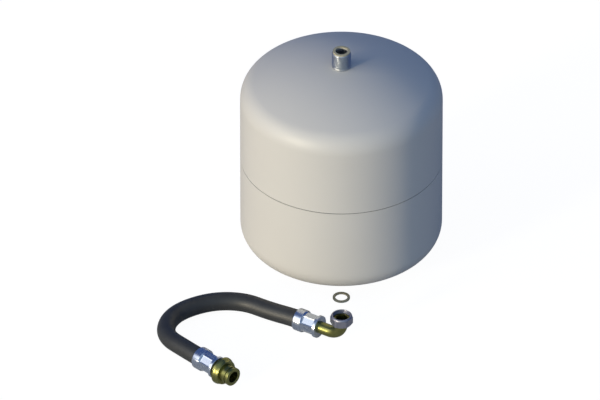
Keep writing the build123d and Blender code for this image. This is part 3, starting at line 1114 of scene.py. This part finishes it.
# %% Spring wire
wire, tree, output = new_material("drawn_spring_steel")
place = add_node(tree, "ShaderNodeTexCoord")
marks = add_node(
    tree,
    "ShaderNodeTexNoise",
    {"Scale": 1 / (0.5 * mm), "Detail": 2},
    {"Vector": place.outputs["Object"]},
)
gloss = add_node(
    tree, "ShaderNodeMapRange", {"To Min": 0.2, "To Max": 0.35}, {"Value": marks.outputs["Fac"]}
)
skin = add_node(
    tree,
    "ShaderNodeBsdfPrincipled",
    {"Metallic": 1, "Base Color": hex_colour("#a8a8a8")},
    {"Roughness": gloss.outputs["Result"]},
)
tree.links.new(skin.outputs["BSDF"], output.inputs["Surface"])
dress(wire, [spring])

# %% [markdown]
# The cap over the valve is moulded polyamide. The mould was spark eroded, which
# leaves an even fine grain of about half a millimetre and a dull surface.

# %% Moulded cap
polyamide, tree, output = new_material("moulded_black_polyamide")
place = add_node(tree, "ShaderNodeTexCoord")
grain = add_node(
    tree, "ShaderNodeTexVoronoi", {"Scale": 1 / (0.5 * mm)}, {"Vector": place.outputs["Object"]}
)
bump = add_node(
    tree,
    "ShaderNodeBump",
    {"Strength": 0.3, "Distance": 0.03 * mm},
    {"Height": grain.outputs["Distance"]},
)
skin = add_node(
    tree,
    "ShaderNodeBsdfPrincipled",
    {"Base Color": hex_colour("#222224"), "Roughness": 0.55, "IOR": 1.53},
    {"Normal": bump.outputs["Normal"]},
)
tree.links.new(skin.outputs["BSDF"], output.inputs["Surface"])
dress(polyamide, [nodes["valve_cap"]])

# %% [markdown]
# The diaphragm inside the tank and the small valve seals are pressed butyl rubber,
# matt and black, with a trace of the talc that keeps them from sticking.

# %% Pressed rubber
butyl, tree, output = new_material("pressed_butyl_rubber")
place = add_node(tree, "ShaderNodeTexCoord")
talc = add_node(
    tree,
    "ShaderNodeTexNoise",
    {"Scale": 1 / (12 * mm), "Detail": 5},
    {"Vector": place.outputs["Object"]},
)
tone = add_node(tree, "ShaderNodeValToRGB", {}, {"Fac": talc.outputs["Fac"]})
tone.color_ramp.elements[0].position = 0.4
tone.color_ramp.elements[0].color = hex_colour("#1d1d1e")
tone.color_ramp.elements[1].position = 0.8
tone.color_ramp.elements[1].color = hex_colour("#3a3a3b")
skin = add_node(
    tree,
    "ShaderNodeBsdfPrincipled",
    {"Roughness": 0.7, "IOR": 1.52},
    {"Base Color": tone.outputs["Color"]},
)
tree.links.new(skin.outputs["BSDF"], output.inputs["Surface"])
dress(butyl, [nodes["diaphragm"], nodes["pin_seal"], nodes["cap_seal"]])

# %% [markdown]
# The floor is plain and white. A lit floor alone would turn out grey in this light,
# so for the camera most of its white is its own, and the rest is ordinary matt white
# that still takes the shadow. Metal mirrors hardly any of that white of its own: with
# all of it the undersides of the fittings would look lit from below. Seen from
# below the floor lets the view through, so that the underside can be looked at.

# %% The floor
floor_size = 60
corner = floor_size / 2
floor_mesh = bpy.data.meshes.new("floor")
floor_mesh.from_pydata(
    [(-corner, -corner, 0), (corner, -corner, 0), (corner, corner, 0), (-corner, corner, 0)],
    [],
    [(0, 1, 2, 3)],
)
floor = bpy.data.objects.new("floor", floor_mesh)
bpy.context.scene.collection.objects.link(floor)
print("floor", floor_size, "m across")

# %% The floor's white
mirrored_share = 0.08
floor_white, tree, output = new_material("white_studio_floor")
rays = add_node(tree, "ShaderNodeLightPath")
side = add_node(tree, "ShaderNodeNewGeometry")
mirrored = add_node(
    tree,
    "ShaderNodeMath",
    {"operation": "MULTIPLY", 1: mirrored_share},
    {0: rays.outputs["Is Glossy Ray"]},
)
camera_or_glass = add_node(
    tree,
    "ShaderNodeMath",
    {"operation": "MAXIMUM"},
    {0: rays.outputs["Is Camera Ray"], 1: rays.outputs["Is Transmission Ray"]},
)
seen = add_node(
    tree,
    "ShaderNodeMath",
    {"operation": "MAXIMUM"},
    {0: camera_or_glass.outputs["Value"], 1: mirrored.outputs["Value"]},
)
matt = add_node(tree, "ShaderNodeBsdfDiffuse", {"Color": hex_colour("#b2b2b2")})
thin_matt = add_node(tree, "ShaderNodeBsdfDiffuse", {"Color": hex_colour("#5a5a5a")})
own_white = add_node(tree, "ShaderNodeEmission", {"Color": (1, 1, 1, 1), "Strength": 0.96})
both = add_node(
    tree,
    "ShaderNodeAddShader",
    {},
    {0: thin_matt.outputs["BSDF"], 1: own_white.outputs["Emission"]},
)
by_ray = add_node(
    tree,
    "ShaderNodeMixShader",
    {},
    {0: seen.outputs["Value"], 1: matt.outputs["BSDF"], 2: both.outputs["Shader"]},
)
clear = add_node(tree, "ShaderNodeBsdfTransparent")
by_side = add_node(
    tree,
    "ShaderNodeMixShader",
    {},
    {0: side.outputs["Backfacing"], 1: by_ray.outputs["Shader"], 2: clear.outputs["BSDF"]},
)
tree.links.new(by_side.outputs["Shader"], output.inputs["Surface"])
dress(floor_white, [floor])

# %% [markdown]
# The light is like late sun in a studio: a warm lamp low at the front left, and a
# room around it that is a deep, cool blue, paler high up in front. That is what makes
# the tank warm on the left and bluish on the right and at the back. One wide, soft
# window on the left is what the bright metals show as white flats and streaks.

# %% Directions in the room
def direction(azimuth, elevation):
    """Unit vector. Azimuth 0 is in front, toward -Y, and it grows toward +X."""
    turn, rise = math.radians(azimuth), math.radians(elevation)
    return Vector(
        (math.sin(turn) * math.cos(rise), -math.cos(turn) * math.cos(rise), math.sin(rise))
    )


pale_side = direction(-3, 36.4)
window_side = direction(-74, 27)
print("pale side", [round(part, 2) for part in pale_side])

# %% The room's walls
world = bpy.data.worlds.new("studio_room")
world.use_nodes = True
bpy.context.scene.world = world
tree = world.node_tree
tree.nodes.clear()
output = tree.nodes.new("ShaderNodeOutputWorld")
place = add_node(tree, "ShaderNodeTexCoord")
facing = add_node(
    tree,
    "ShaderNodeVectorMath",
    {"operation": "DOT_PRODUCT", 1: pale_side},
    {0: place.outputs["Generated"]},
)
spread = add_node(
    tree, "ShaderNodeMapRange", {"From Min": -1, "From Max": 1}, {"Value": facing.outputs["Value"]}
)
walls = add_node(tree, "ShaderNodeValToRGB", {}, {"Fac": spread.outputs["Result"]})
walls.color_ramp.elements[0].position = 0.1
walls.color_ramp.elements[0].color = hex_colour("#4b6599")
walls.color_ramp.elements[1].position = 0.98
walls.color_ramp.elements[1].color = hex_colour("#adc6df")
middle = walls.color_ramp.elements.new(0.7)
middle.color = hex_colour("#3f598f")
print("wall colours", len(walls.color_ramp.elements))

# %% The window
window_core = math.radians(9)
window_reach = math.radians(24)
window_strength = 2.1
window_facing = add_node(
    tree,
    "ShaderNodeVectorMath",
    {"operation": "DOT_PRODUCT", 1: window_side},
    {0: place.outputs["Generated"]},
)
window = add_node(
    tree,
    "ShaderNodeMapRange",
    {
        "interpolation_type": "SMOOTHSTEP",
        "From Min": math.cos(window_reach),
        "From Max": math.cos(window_core),
        "To Max": window_strength,
    },
    {"Value": window_facing.outputs["Value"]},
)
room = add_node(tree, "ShaderNodeBackground", {"Strength": 1.0}, {"Color": walls.outputs["Color"]})
glow = add_node(
    tree,
    "ShaderNodeBackground",
    {"Color": hex_colour("#fffdf6")},
    {"Strength": window.outputs["Result"]},
)
light = add_node(
    tree,
    "ShaderNodeAddShader",
    {},
    {0: room.outputs["Background"], 1: glow.outputs["Background"]},
)
tree.links.new(light.outputs["Shader"], output.inputs["Surface"])
print("window", round(math.degrees(2 * window_reach)), "degrees wide")

# %% [markdown]
# The lamp is a sun, so its rays come side by side and the whole object gets the same
# light, as under a lamp far away. Its angle of 9 degrees gives the shadow a soft
# edge, as a lamp with a wide shade does. The Standard view shows a colour as it was
# written, where the usual one would grey the white floor.

# %% The lamp
lamp_side = direction(-47.3, 12.9)
lamp_data = bpy.data.lights.new("warm_lamp", "SUN")
lamp_data.energy = 2.48
lamp_data.angle = math.radians(9)
lamp_data.color = hex_colour("#fff2d4")[:3]
lamp = bpy.data.objects.new("warm_lamp", lamp_data)
lamp.rotation_mode = "QUATERNION"
lamp.rotation_quaternion = lamp_side.to_track_quat("Z", "Y")
bpy.context.scene.collection.objects.link(lamp)
bpy.context.scene.view_settings.view_transform = "Standard"
print("lamp from", [round(part, 2) for part in lamp_side])
